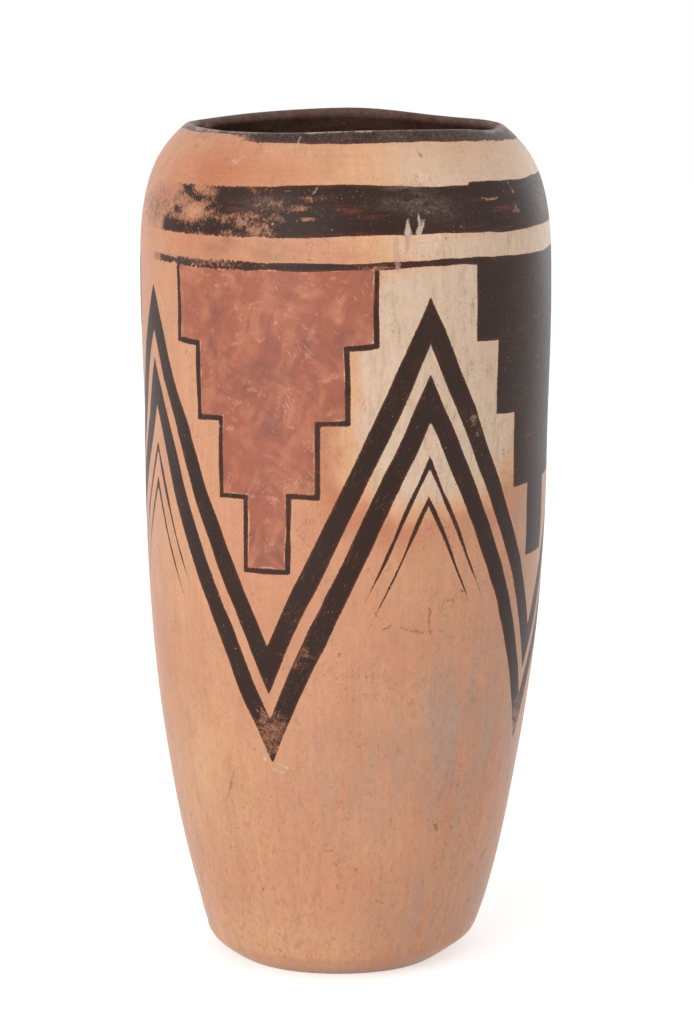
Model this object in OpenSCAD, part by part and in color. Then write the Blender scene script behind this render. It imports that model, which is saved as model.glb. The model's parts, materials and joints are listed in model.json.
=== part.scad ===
// Tall hand-built pottery vase: a small flat foot, a wall that widens to a full shoulder, and an incurved mouth.
// It is built as a potter builds it: a moulded base pat, rings of clay laid one on another, and a rim coil.
// Each ring laps inside the one below, so every joint is a slanted face that runs down towards the inside.
// +Z is up, the origin is the middle of the foot on the ground, and -Y is the painted front.

/* [Body] */
// Height from the ground to the crest of the lip
overall_h = 305; // [260:1:380]
// Largest radius, at the belly under the shoulder
belly_r = 74; // [70:0.5:90]
// Height of the shoulder, from the belly to the crest of the lip
shoulder_h = 60; // [45:1:80]
// How much narrower the waist is than the belly; the lower wall stops widening at the waist
waist_inset = 1; // [0:0.1:4]
// Height between the waist and the belly
swell_h = 53; // [30:1:70]

/* [Foot] */
// Radius of the flat that the vase stands on
foot_r = 39; // [30:0.5:44]
// Radius of the wall just above the rounded edge of the foot
heel_r = 49.4; // [46:0.2:58]
// Height of the rounded edge of the foot
heel_h = 8.4; // [4:0.2:12]
// Thickness of the floor
floor_t = 8; // [5:0.5:12]
// Radius of the cove between the floor and the wall, inside
cove_r = 14; // [8:0.5:20]

/* [Wall] */
// Thickness of the wall, square to its surface
wall_t = 6; // [4:0.25:8]
// Depth of the hollow that a finger leaves along the inside of each ring
finger_d = 0.5; // [0:0.1:1]
// How quickly the lower wall widens above the foot: 1 is a straight cone
wall_fullness = 2.25; // [1.2:0.05:3]
// How round the edge of the foot is: 1 is a plain bevel
heel_fullness = 1.5; // [1:0.1:2.4]

/* [Mouth] */
// Radius of the mouth at the crest of the lip
mouth_r = 55.3; // [46:0.1:60]
// Thickness of the lip, which ends in a half round
lip_t = 4.6; // [3:0.2:6]
// How far the wall leans in at the lip, in degrees from upright
lip_lean = 45; // [35:1:55]
// How much lower the crest is at the sides than at the front and the back
lip_dip = 2; // [0:0.1:4]

/* [Rings] */
// Height of the base pat's inner wall, from the cove to the first joint
pat_wall_h = 3; // [1:0.5:12]
// Height of the rim coil, measured outside
rim_h = 15; // [10:0.5:20]
// How much lower each joint is inside than outside
lap = 5; // [2:0.5:8]

/* [Hidden] */
NODES = [
    "base_pat",
    "wall_ring_01", "wall_ring_02", "wall_ring_03", "wall_ring_04", "wall_ring_05",
    "wall_ring_06", "wall_ring_07", "wall_ring_08", "wall_ring_09", "wall_ring_10",
    "rim_coil"
];

// Every node is a wall ring but the base pat and the rim coil
ring_count = len(NODES) - 2;

// Colours of the fired clay, from the foot to the shoulder, and of the painted lip
foot_colour = [0.80, 0.58, 0.46];
shoulder_colour = [0.85, 0.69, 0.55];
lip_colour = [0.36, 0.25, 0.21];

// Smoothness of what is turned, height of one flat along an outline, and flats in an arc and round the uneven rim
$fn = 144;
outline_step = 3;
arc_steps = 8;
rim_sides = 96;

// Heights that follow from the named ones; each joint is a height on the outside
belly_h = overall_h - shoulder_h;
waist_h = belly_h - swell_h;
waist_r = belly_r - waist_inset;
cove_top_h = floor_t + cove_r;
first_joint_h = cove_top_h + pat_wall_h + lap;
rim_joint_h = overall_h - rim_h;
ring_h = (rim_joint_h - first_joint_h) / ring_count;

// The lip is a half round about this centre, and the shoulder runs into it square to this normal
lip_centre = [mouth_r, overall_h - lip_t / 2];
lip_normal = [cos(lip_lean), sin(lip_lean)];
lip_start = lip_centre + lip_t / 2 * lip_normal;
shoulder_drop = belly_r - lip_start.x;
shoulder_rise = lip_start.y - belly_h;
shoulder_fullness = tan(lip_lean) * shoulder_rise / shoulder_drop;

// Goes from 0 to 1 while t does, quickly at first when the fullness n is over 1
function ease(t, n) = 1 - pow(1 - t, n);
// The slope of ease(t, n)
function ease_slope(t, n) = n * pow(1 - t, n - 1);

// Radius of the outside at a height: the foot's edge, the lower wall, the swell and the shoulder
function outer_r(z) =
    z < heel_h ? foot_r + (heel_r - foot_r) * ease(z / heel_h, heel_fullness) :
    z < waist_h ? heel_r + (waist_r - heel_r) * ease((z - heel_h) / (waist_h - heel_h), wall_fullness) :
    z < belly_h ? waist_r + waist_inset * (1 - cos(180 * (z - waist_h) / swell_h)) / 2 :
    belly_r - shoulder_drop * pow((z - belly_h) / shoulder_rise, shoulder_fullness);

// How fast that radius grows with height, above the foot's edge
function outer_slope(z) =
    z < waist_h ?
        (waist_r - heel_r) / (waist_h - heel_h) * ease_slope((z - heel_h) / (waist_h - heel_h), wall_fullness) :
    z < belly_h ? waist_inset / swell_h * PI / 2 * sin(180 * (z - waist_h) / swell_h) :
    -shoulder_drop / shoulder_rise * shoulder_fullness * pow((z - belly_h) / shoulder_rise, shoulder_fullness - 1);

// Thickness of the wall: even in the base pat, hollowed along each ring, and thinned in the rim coil
function wall_at(z) =
    z < first_joint_h - lap ? wall_t :
    z < rim_joint_h - lap ? wall_t - finger_d * (1 - cos(360 * (z + lap - first_joint_h) / ring_h)) / 2 :
    wall_t + (lip_t - wall_t) * (z + lap - rim_joint_h) / (lip_start.y + lap - rim_joint_h);

// A point of the outside, and the point of the inside that lies square behind it
function outer_point(z) = [outer_r(z), z];
function inner_point(z) =
    let (normal = [1, -outer_slope(z)] / norm([1, outer_slope(z)]))
    outer_point(z) - wall_at(z) * normal;

// Heights from one to another, in even steps of at most outline_step
function heights(from, to) =
    let (steps = max(2, ceil(abs(to - from) / outline_step)))
    [for (i = [0 : steps]) from + (to - from) * i / steps];

// Points of the outline, going up the outside or down the inside
function up_outside(low, high) = [for (z = heights(low, high)) outer_point(z)];
function down_inside(high, low) = [for (z = heights(high, low)) inner_point(z)];

// The foot's rounded edge, from the ground up
heel_points = [for (i = [0 : arc_steps]) outer_point(heel_h * i / arc_steps)];

// The cove, from the inner wall down to the floor
cove_top = inner_point(cove_top_h);
function cove_point(angle) = [
    cove_top.x - cove_r * (1 - cos(angle)),
    floor_t + (cove_top.y - floor_t) * (1 - sin(angle))
];
cove_points = [for (i = [1 : arc_steps]) cove_point(90 * i / arc_steps)];

// The half round of the lip, from the outside over the crest to the inside
function lip_point(angle) = lip_centre + lip_t / 2 * [cos(lip_lean + angle), sin(lip_lean + angle)];
lip_points = [for (i = [1 : arc_steps]) lip_point(180 * i / arc_steps)];

// Floor, foot and lowest wall in one piece, as it comes out of its mould
module base_pat() {
    color(foot_colour)
    rotate_extrude()
    polygon(concat(
        [[0, 0]], heel_points, up_outside(heel_h + outline_step, first_joint_h),
        down_inside(first_joint_h - lap, cove_top_h), cove_points, [[0, floor_t]]
    ));
}

// One ring of the wall, counted from 0 at the bottom
module wall_ring(index) {
    low = first_joint_h + ring_h * index;
    high = low + ring_h;
    share_up = index / (ring_count - 1);
    color(foot_colour + (shoulder_colour - foot_colour) * share_up)
    rotate_extrude()
    polygon(concat(up_outside(low, high), down_inside(high - lap, low - lap)));
}

// The last ring, thinned to a rounded lip whose crest dips towards both sides
module rim_coil() {
    section = concat(
        up_outside(rim_joint_h, lip_start.y), lip_points,
        down_inside(lip_start.y - outline_step / 2, rim_joint_h - lap)
    );
    count = len(section);
    // Each point sinks with the crest, in proportion to its height above the joint
    points = [
        for (side = [0 : rim_sides - 1], point = section)
        let (
            angle = 360 * side / rim_sides,
            share_up = max(0, point.y - rim_joint_h) / rim_h
        )
        [point.x * cos(angle), point.x * sin(angle), point.y - lip_dip * share_up * pow(cos(angle), 2)]
    ];
    // Two triangles join each edge of the section to the same edge on the next side
    faces = [
        for (side = [0 : rim_sides - 1], i = [0 : count - 1])
        let (
            here = side * count,
            there = (side + 1) % rim_sides * count,
            next = (i + 1) % count
        )
        each [[here + i, here + next, there + i], [here + next, there + next, there + i]]
    ];
    color(lip_colour) polyhedron(points, faces);
}

base_pat();
wall_ring(0);  // wall_ring_01
wall_ring(1);  // wall_ring_02
wall_ring(2);  // wall_ring_03
wall_ring(3);  // wall_ring_04
wall_ring(4);  // wall_ring_05
wall_ring(5);  // wall_ring_06
wall_ring(6);  // wall_ring_07
wall_ring(7);  // wall_ring_08
wall_ring(8);  // wall_ring_09
wall_ring(9);  // wall_ring_10
rim_coil();
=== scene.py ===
"""A hand-built pottery vase: coiled clay, polished with a stone, painted with clay slips and fired.

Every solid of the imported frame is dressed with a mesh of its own, which follows the same outline and adds
the unevenness of hand work. The paint, the clouding of the fire and the wear are fields over that mesh, in
millimetres, and the materials turn them into colour, gloss and relief.
"""
import json
from math import atan2, ceil, cos, hypot, pi, radians, sin, tan

import bpy
import numpy as np
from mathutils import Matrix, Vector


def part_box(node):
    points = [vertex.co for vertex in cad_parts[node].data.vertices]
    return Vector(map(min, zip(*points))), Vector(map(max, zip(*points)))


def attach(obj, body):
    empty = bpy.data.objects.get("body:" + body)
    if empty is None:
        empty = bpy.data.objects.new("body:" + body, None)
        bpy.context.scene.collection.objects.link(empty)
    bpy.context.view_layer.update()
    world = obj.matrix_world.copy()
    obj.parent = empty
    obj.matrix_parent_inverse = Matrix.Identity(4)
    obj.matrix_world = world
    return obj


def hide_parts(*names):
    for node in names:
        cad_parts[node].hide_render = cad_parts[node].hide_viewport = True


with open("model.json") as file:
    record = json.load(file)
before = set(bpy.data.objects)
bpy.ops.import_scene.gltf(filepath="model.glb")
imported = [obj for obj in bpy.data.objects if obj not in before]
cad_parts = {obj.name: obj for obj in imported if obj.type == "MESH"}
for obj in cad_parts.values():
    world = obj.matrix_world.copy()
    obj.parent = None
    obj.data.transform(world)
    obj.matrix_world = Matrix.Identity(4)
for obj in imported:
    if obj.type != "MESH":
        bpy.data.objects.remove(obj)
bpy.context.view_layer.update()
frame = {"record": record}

# Lengths here are in millimetres and angles run from the painted front, growing towards +X
MM = 0.001
SLOT_OF = {subpart["node"]: subpart["material_slot"] for subpart in frame["record"]["subparts"]}
NODES = list(SLOT_OF)


def highest_corner(node):
    """Highest corner of a solid of the frame."""
    return np.array(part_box(node)[1]) / MM


# Outline: heights of the joints and the largest radius come from the frame, the rest repeats part.scad
TOPS = [highest_corner(node)[2] for node in NODES]
OVERALL_H = TOPS[-1]
BELLY_R = max(highest_corner(node)[0] for node in NODES)
SHOULDER_H = 60
WAIST_INSET = 1
SWELL_H = 53
FOOT_R = 39
HEEL_R = 49.4
HEEL_H = 8.4
FLOOR_T = 8
COVE_R = 14
WALL_T = 6
FINGER_D = 0.5
WALL_FULLNESS = 2.25
HEEL_FULLNESS = 1.5
MOUTH_R = 55.3
LIP_T = 4.6
LIP_LEAN = radians(45)
LAP = 5

BELLY_H = OVERALL_H - SHOULDER_H
WAIST_H = BELLY_H - SWELL_H
WAIST_R = BELLY_R - WAIST_INSET
COVE_TOP_H = FLOOR_T + COVE_R
WALL_LEAN = (WAIST_R - HEEL_R) * WALL_FULLNESS / (WAIST_H - HEEL_H)
FIRST_JOINT_H = TOPS[0]
RIM_JOINT_H = TOPS[-2]
RING_H = (RIM_JOINT_H - FIRST_JOINT_H) / (len(NODES) - 2)
LIP_CENTRE = np.array([MOUTH_R, OVERALL_H - LIP_T / 2])
LIP_START = LIP_CENTRE + LIP_T / 2 * np.array([cos(LIP_LEAN), sin(LIP_LEAN)])
SHOULDER_DROP = BELLY_R - LIP_START[0]
SHOULDER_RISE = LIP_START[1] - BELLY_H
SHOULDER_FULLNESS = tan(LIP_LEAN) * SHOULDER_RISE / SHOULDER_DROP

# Fineness of the meshes
COLUMNS = 640
OUTSIDE_STEP = 0.75
INSIDE_STEP = 2.2
LIP_STEPS = 14
COVE_STEPS = 12
DISC_STEPS = 8
SLOPE_STEP = 0.01
SHARP_ANGLE = radians(35)

# Sides of the wall that a point of the outline may lie on
OUTSIDE, INSIDE, UNDERSIDE = 0, 1, 2


def smooth(t):
    """Goes from 0 to 1 with t, level at both ends."""
    t = np.clip(t, 0, 1)
    return t * t * (3 - 2 * t)


def fade(value, start, end):
    """Goes smoothly from 0 at the start to 1 at the end, which may be the lower of the two."""
    return smooth((value - start) / (end - start))


def outer_radius(z):
    """Radius of the outside at a height: the foot's edge, the lower wall, the swell and the shoulder."""
    below_heel = 1 - np.clip(z / HEEL_H, 0, 1)
    heel = FOOT_R + (HEEL_R - FOOT_R) * (1 - below_heel ** HEEL_FULLNESS)
    # The hand runs the heel into the leaning wall without a corner
    heel -= WALL_LEAN * HEEL_H * (below_heel - below_heel ** HEEL_FULLNESS)
    up_wall = np.clip((z - HEEL_H) / (WAIST_H - HEEL_H), 0, 1)
    wall = HEEL_R + (WAIST_R - HEEL_R) * (1 - (1 - up_wall) ** WALL_FULLNESS)
    swell = WAIST_R + WAIST_INSET * (1 - np.cos(pi * (z - WAIST_H) / SWELL_H)) / 2
    up_shoulder = np.clip((z - BELLY_H) / SHOULDER_RISE, 0, 1)
    shoulder = BELLY_R - SHOULDER_DROP * up_shoulder ** SHOULDER_FULLNESS
    return np.select([z < HEEL_H, z < WAIST_H, z < BELLY_H], [heel, wall, swell], shoulder)


def wall_thickness(z):
    """Thickness of the wall: even in the base pat, hollowed along each ring and thinned in the rim coil."""
    up_ring = (z + LAP - FIRST_JOINT_H) / RING_H
    hollowed = WALL_T - FINGER_D * (1 - np.cos(2 * pi * up_ring)) / 2
    up_rim = (z + LAP - RIM_JOINT_H) / (LIP_START[1] + LAP - RIM_JOINT_H)
    thinned = WALL_T + (LIP_T - WALL_T) * up_rim
    return np.select([z < FIRST_JOINT_H - LAP, z < RIM_JOINT_H - LAP], [WALL_T, hollowed], thinned)


def outline_rows(radius, height, side):
    """Points of an outline, as rows of radius, height and side."""
    return np.column_stack(np.broadcast_arrays(radius, height, side))


def heights(start, end, step):
    """Even heights from one to another, at most a step apart."""
    return np.linspace(start, end, max(2, ceil(abs(end - start) / step)) + 1)


def outside_points(low, high):
    """Points of the outside from one height up to another."""
    z = heights(low, high, OUTSIDE_STEP)
    return outline_rows(outer_radius(z), z, OUTSIDE)


def inside_points(high, low):
    """Points of the inside, each square behind a point of the outside, from one height down to another."""
    z = heights(high, low, INSIDE_STEP)
    slope = (outer_radius(z) - outer_radius(z - SLOPE_STEP)) / SLOPE_STEP
    thick = wall_thickness(z) / np.hypot(1, slope)
    return outline_rows(outer_radius(z) - thick, z + thick * slope, INSIDE)


def lip_points():
    """The half round of the lip, from the outside over the crest to the inside."""
    turn = LIP_LEAN + np.linspace(0, pi, LIP_STEPS + 1)[1:]
    radius = LIP_CENTRE[0] + LIP_T / 2 * np.cos(turn)
    height = LIP_CENTRE[1] + LIP_T / 2 * np.sin(turn)
    return outline_rows(radius, height, np.where(turn <= pi / 2, OUTSIDE, INSIDE))


def cove_points(top):
    """The cove from the inner wall down to the floor."""
    turn = np.linspace(0, pi / 2, COVE_STEPS + 1)[1:]
    radius = top[0] - COVE_R * (1 - np.cos(turn))
    return outline_rows(radius, FLOOR_T + (top[1] - FLOOR_T) * (1 - np.sin(turn)), INSIDE)


def disc_points(radius, height, side):
    """Points of a level disc, from near its middle out to just inside its edge."""
    return outline_rows(radius * (np.arange(1, DISC_STEPS) / DISC_STEPS), height, side)


def base_outline():
    """The base pat's outline, from the middle of the foot round to the middle of the floor."""
    inner_wall = inside_points(FIRST_JOINT_H - LAP, COVE_TOP_H)
    cove = cove_points(inner_wall[-1])
    return np.vstack([
        [[0, 0, UNDERSIDE]],
        disc_points(FOOT_R, 0, UNDERSIDE),
        outside_points(0, FIRST_JOINT_H),
        inner_wall,
        cove,
        disc_points(cove[-1][0], FLOOR_T, INSIDE)[::-1],
        [[0, FLOOR_T, INSIDE]],
    ])


def ring_outline(low, high):
    """A wall ring's outline, up the outside and down the inside, whose joints are lower by the lap."""
    return np.vstack([outside_points(low, high), inside_points(high - LAP, low - LAP)])


def rim_outline():
    """The rim coil's outline, over the lip and down to the joint."""
    return np.vstack([
        outside_points(RIM_JOINT_H, LIP_START[1]),
        lip_points(),
        inside_points(LIP_START[1] - INSIDE_STEP, RIM_JOINT_H - LAP),
    ])


# Unevenness of the hand-built body: waves round it, as their count, height and start
OUT_OF_ROUND = [(2, 0.22, 0.4), (3, 0.16, 2.1), (4, 0.09, 4.0), (5, 0.07, 1.2)]
MOUTH_OVAL = 0.7
MOUTH_OVAL_H = 296
MOUTH_OVAL_FADE_H = 13
LUMP_D = 0.16
LUMP_CELL = 24
CREST_FADE_H = 30
CREST_BLUR = 9
CREST_BLUR_STEPS = 7
# How far the axis strays to +X, at heights
AXIS_STRAYS = [
    (0, -1.5), (5, -0.9), (10, -0.2), (20, 0.35), (35, 0.45), (60, 0.5), (92, 0.75), (113, 1),
    (143, 1.35), (172, 1.5), (201, 1.85), (223, 1.8), (245, 1.65), (265, 1.5), (290, 1.3), (305, 1.2),
]
# How much lower the crest is than its highest point, at angles from the front
CREST_DROPS = [
    (-180, 0.1), (-155, 0.95), (-126, 2), (-110, 2.1), (-90, 1.3), (-45, 1.6), (-15, 0.9), (0, 0),
    (25, 0), (50, 0.9), (65, 2.6), (90, 2.3), (110, 2.2), (122, 2.4), (138, 2.6), (156, 1.5), (168, 0.3),
    (180, 0.1),
]
# Flats and swellings, as angle, height, half width, half height and how far they stand out
SWELLINGS = [
    (72, 4, 34, 4, -0.85), (-75, 9, 30, 3.6, -0.45), (-85, 3.4, 24, 3, 0.5), (-35, 0, 30, 4, 0.6),
    (35, 0, 30, 4, 0.7), (85, 28, 40, 22, 0.3), (-85, 32, 40, 26, 0.3),
]


def hand_noise(angle, z, cell, seed):
    """Smooth noise from -1 to 1 over the vase, in bumps of one cell, joined up at the back."""
    around = max(3, round(2 * pi * BELLY_R / cell))
    up = ceil(OVERALL_H / cell) + 3
    lattice = np.random.default_rng(seed).uniform(-1, 1, (up, around))
    u = angle / (2 * pi) % 1 * around
    v = np.clip(z, 0, OVERALL_H) / cell + 1
    i = np.floor(u).astype(int)
    j = np.floor(v).astype(int)
    across = smooth(u - i)
    upward = smooth(v - j)
    here, beyond = i % around, (i + 1) % around
    lower, upper = (lattice[row, here] * (1 - across) + lattice[row, beyond] * across for row in (j, j + 1))
    return lower * (1 - upward) + upper * upward


def arc_from(angle, middle):
    """Length round the wall from a middle, in degrees, the shorter way."""
    return ((angle - radians(middle) + pi) % (2 * pi) - pi) * PAINT_R


def spot(angle, z, middle, height, half_w, half_h):
    """A soft spot of the given half width and half height, 1 in its middle."""
    return np.exp(-(arc_from(angle, middle) / half_w) ** 2 - ((z - height) / half_h) ** 2)


def strongest(angle, z, spots):
    """The strongest of the spots at each point."""
    return np.maximum.reduce([strength * spot(angle, z, *place) for *place, strength in spots])


def crest_drop(angle):
    """How much lower the crest is at an angle, with the table's corners rounded."""
    places, drops = zip(*CREST_DROPS)
    shifted = [np.degrees(angle) + shift for shift in np.linspace(-CREST_BLUR, CREST_BLUR, CREST_BLUR_STEPS)]
    return np.mean([np.interp(degrees, places, drops, period=360) for degrees in shifted], axis=0)


def hand_shaped(angle, radius, z):
    """Moves points of the even outline to where the uneven body has them."""
    shift_x = np.interp(z, *zip(*AXIS_STRAYS))
    bulge = sum(size * np.cos(turns * (angle - start)) for turns, size, start in OUT_OF_ROUND)
    bulge += LUMP_D * hand_noise(angle, z, LUMP_CELL, seed=3) * smooth(z / HEEL_H)
    bulge += sum(stand * spot(angle, z, *place) for *place, stand in SWELLINGS)
    oval = MOUTH_OVAL * np.exp(-((z - MOUTH_OVAL_H) / MOUTH_OVAL_FADE_H) ** 2)
    bulge -= oval * np.cos(2 * angle)
    radius = radius + bulge * np.clip(radius / FOOT_R, 0, 1)
    drop = crest_drop(angle) * np.clip(1 - (OVERALL_H - z) / CREST_FADE_H, 0, 1) ** 2
    return np.stack([radius * np.sin(angle) + shift_x, -radius * np.cos(angle), z - drop], axis=-1)


# Painted design: a wide band and a framing line round the shoulder, and a zigzag on the wall below
LIP_EDGE_H = 301
INNER_EDGE_H = 277
INNER_EDGE_WOBBLE = 2
BAND_LOW_H = 270.6
BAND_HIGH_H = 286.6
FRAME_LINE_H = 260.3
FRAME_LINE_W = 2.5
# How far the stripes and the lip's lower edge stray from level, at angles from the front
BAND_TOP_STRAYS = [
    (-180, 0), (-90, -0.8), (-36, -0.7), (-26, 0), (-17, 0.35), (-8, 0.8), (0, 1), (8, 0.85), (16, 0.25),
    (21, -0.3), (35, -0.3), (46, -0.1), (53, -0.55), (61, -0.65), (90, -0.5), (180, 0),
]
BAND_LOW_STRAYS = [
    (-180, 0), (-90, -1.9), (-57, -2), (-43, -1.85), (-33, -1.35), (-25, -0.9), (-17, -1), (-12, -0.6),
    (-8, -0.3), (0, 0), (8, 0.25), (20, 0), (35, -0.15), (42, -0.5), (46, -1), (61, -0.8), (90, -0.5),
    (180, 0),
]
FRAME_LINE_STRAYS = [
    (-180, 0), (-90, -1.2), (-47, -1.25), (-39, -0.85), (-33, -0.4), (-12, -0.3), (0, 0), (16, 0.2),
    (30, 0.6), (40, 0.3), (46, 0.1), (53, -0.7), (70, -0.7), (110, 0), (180, 0),
]
LIP_EDGE_STRAYS = [
    (-180, 0), (-110, 0.8), (-79, 2.8), (-46, 3.1), (-41, 2.8), (-36, 1.7), (-31, 0.3), (-15, 0),
    (0, -0.4), (22, -0.1), (33, 0.2), (56, 0.2), (68, -0.2), (85, -1), (120, -0.4), (180, 0),
]
# Where a second brush load starts the wide band afresh, a little higher
BAND_RESTART = radians(38)
BAND_RESTART_RISE = 1
REPEATS = 4
FIRST_VALLEY = radians(-22)
VALLEY_H = 105
PEAK_H = 228
STRIPE_W = 7
STRIPE_GAP = 4
ECHO_W = 1.8
ECHO_DISTANCES = [15, 20.5]
ECHO_LENGTH = 96
OUTLINE_W = 1.8
STEP_COUNT = 4
STEP_HALF_WIDTHS = [38, 28, 18, 8]
STEP_TOP_H = 259
STEP_BOTTOM_H = 154
STEP_TUCK_H = 1
WOBBLE = 0.7
LEVEL_WOBBLE = 0.35
WIDTH_WOBBLE = 0.22
FRAME_LINE_WOBBLE = 0.4
LIP_EDGE_WOBBLE = 0.25
# Brush hairs: the size of a cell, how far off the zigzag they still follow it, and the shift between legs
HAIR_LENGTH = 16
HAIR_W = 0.7
HAIRS_BELOW_LEG = 25
HAIRS_OVER_PEAK = 20
HAIR_SHIFT = 1.3
# Distance outside a shape or a mark that is far off
FAR = 9

PAINT_R = 72
REPEAT_W = 2 * pi * PAINT_R / REPEATS
LEG_W = REPEAT_W / 2
LEG_LEAN = atan2(PEAK_H - VALLEY_H, LEG_W)
LEG_LENGTH = hypot(PEAK_H - VALLEY_H, LEG_W)


def zigzag_place(angle, z):
    """Distances above the zigzag's middle line, along its leg and from its valley; its leg and repeat."""
    u = (angle - FIRST_VALLEY) * PAINT_R + REPEAT_W / 2
    repeat = np.floor(u / REPEAT_W)
    from_valley = u - (repeat + 0.5) * REPEAT_W
    s = np.abs(from_valley)
    rise = z - VALLEY_H
    above = rise * cos(LEG_LEAN) - s * sin(LEG_LEAN)
    along = rise * sin(LEG_LEAN) + s * cos(LEG_LEAN)
    leg = 2 * repeat + (from_valley > 0)
    return above, along, from_valley, leg, repeat % REPEATS


def stepped(from_middle, z):
    """Distance outside an upside-down stepped triangle that hangs from the framing line."""
    step_h = (STEP_TOP_H - STEP_BOTTOM_H) / STEP_COUNT
    high = STEP_TOP_H + STEP_TUCK_H
    steps = []
    for i, half_width in enumerate(STEP_HALF_WIDTHS):
        low = STEP_TOP_H - step_h * (i + 1)
        upright = np.abs(z - (high + low) / 2) - (high - low) / 2
        steps.append(np.maximum(np.abs(from_middle) - half_width, upright))
    return np.minimum.reduce(steps)


def stray(angle, table):
    """How far a line strays from level at an angle, from a table."""
    places, shifts = zip(*table)
    return np.interp(np.degrees(angle), places, shifts)


def paint_fields(angle, z, side):
    """What the shader needs to draw the slips, by name."""
    a = angle + WOBBLE * hand_noise(angle, z, 22, seed=11) / PAINT_R
    h = z + WOBBLE * hand_noise(angle, z, 18, seed=12)
    above, along, from_valley, leg, repeat = zigzag_place(a, h)
    level_h = z + LEVEL_WOBBLE * hand_noise(angle, z, 30, seed=16)
    band_top = BAND_HIGH_H + BAND_RESTART_RISE * ((angle > BAND_RESTART) & (angle < pi - BAND_RESTART))
    band_top += stray(angle, BAND_TOP_STRAYS)
    band = np.maximum(BAND_LOW_H + stray(angle, BAND_LOW_STRAYS) - level_h, level_h - band_top)
    line_w = FRAME_LINE_W + FRAME_LINE_WOBBLE * hand_noise(angle, z, 17, seed=17)
    frame_stray = stray(angle, FRAME_LINE_STRAYS)
    frame_line = np.abs(level_h - FRAME_LINE_H - frame_stray) - line_w / 2
    lip_wobble = LIP_EDGE_WOBBLE * hand_noise(angle, np.zeros_like(angle), 16, seed=15)
    lip = LIP_EDGE_H + (stray(angle, LIP_EDGE_STRAYS) + lip_wobble) - level_h
    inner = INNER_EDGE_H + INNER_EDGE_WOBBLE * hand_noise(angle, z, 14, seed=14) - z
    lip = np.select([side == INSIDE, side == UNDERSIDE], [inner, FAR], lip)

    # Brush hairs run along the legs of the zigzag and level elsewhere, counted in cells of the noise
    below_leg = (above < 0) & (above > -HAIRS_BELOW_LEG) & (z < STEP_BOTTOM_H)
    on_leg = ((np.abs(above) < STRIPE_W + STRIPE_GAP) | below_leg) & (z < PEAK_H + HAIRS_OVER_PEAK)
    along_leg = np.stack([along / HAIR_LENGTH, above / HAIR_W, HAIR_SHIFT * leg], axis=-1)
    level = [PAINT_R * np.sin(a) / HAIR_LENGTH, PAINT_R * np.cos(a) / HAIR_LENGTH, h / HAIR_W]
    return {
        "along": along,
        "above": above,
        "lines": np.stack([band, frame_line, lip], axis=-1),
        "steps": stepped(from_valley, h - frame_stray),
        "red_steps": repeat % 2 == 0,
        "widen": WIDTH_WOBBLE * hand_noise(angle, z, 7, seed=13),
        "hairs": np.where(on_leg[..., None], along_leg, np.stack(level, axis=-1)),
    }


# Pale patches that the fire left, as angle, height, half width, half height and corner radius
CLOUD_PATCHES = [
    (29, 222, 34, 45, 24), (51, 282, 54, 28, 18), (-146, 128, 34, 44, 30), (-126, 96, 22, 30, 20),
    (166, 196, 20, 30, 18),
]
# They are fainter from one height up to another, softer likewise, and ragged and faint at the back
CLOUD_FAINT_H = (284, 292)
CLOUD_SOFT_H = (262, 270)
CLOUD_BACK = (radians(80), radians(100))
CLOUD_BACK_FAINT = 7
CLOUD_SOFTNESS = 0.6
# A flush lies round a patch, this far out and this wide, up to a height and most of all round one place
FLUSH_DISTANCE = 9
FLUSH_W = 8
FLUSH_TOP_H = (272, 262)
FLUSH_CORE = (2, 188, 26, 34)


def cloud_field(angle, z):
    """Distance outside the pale patches that the fire left."""
    distances = []
    for middle, height, half_w, half_h, corner in CLOUD_PATCHES:
        across = np.abs(arc_from(angle, middle)) - half_w + corner
        upward = np.abs(z - height) - half_h + corner
        outside = np.hypot(np.maximum(across, 0), np.maximum(upward, 0))
        distances.append(outside + np.minimum(np.maximum(across, upward), 0) - corner)
    at_back = fade(np.abs(angle), *CLOUD_BACK)
    ragged = (3.5 + 6 * at_back) * hand_noise(angle, z, 26, seed=21) + 1.6 * hand_noise(angle, z, 9, seed=22)
    soft = 1 - CLOUD_SOFTNESS * fade(z, *CLOUD_SOFT_H) * (1 - at_back)
    faint = fade(z, *CLOUD_FAINT_H)
    return soft * (np.minimum.reduce(distances) + faint + CLOUD_BACK_FAINT * at_back + ragged)


def fire_fields(angle, z):
    """Cloud distance and blush share that the fire left in the clay, a tan share that is partly greyer clay
    and partly painted shade, and a warm share that is partly yellower clay and partly painted light.
    """
    cloud = cloud_field(angle, z)
    flush = np.exp(-((cloud - FLUSH_DISTANCE) / FLUSH_W) ** 2) * fade(z, *FLUSH_TOP_H)
    flush *= 0.3 + 0.7 * spot(angle, z, *FLUSH_CORE)
    # The tan share is partly painted shade on the right side and a painted reflection at its edge
    tan_and_shade = strongest(angle, z, TAN_AND_SHADE_SPOTS) + 0.18 * hand_noise(angle, z, 45, seed=23)
    # The warm share is partly painted light low on the left side
    warm_and_lit = strongest(angle, z, WARM_AND_LIT_SPOTS) + 0.25 * hand_noise(angle, z, 38, seed=24)
    return {
        "cloud": cloud,
        "blush": np.maximum(flush, strongest(angle, z, BLUSH_SPOTS)),
        "tan": np.clip(tan_and_shade, 0, 1),
        "warm_and_lit": np.clip(warm_and_lit, 0, 1),
    }


# Spots, each as angle, height, half width, half height and strength. First, redder places from the fire
BLUSH_SPOTS = [
    (-42, 291, 24, 10, 1.1), (-58, 284, 14, 18, 0.6), (-20, 291, 24, 7, 0.6), (-48, 268, 16, 8, 0.5),
    (150, 262, 40, 20, 0.5),
]
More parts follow.
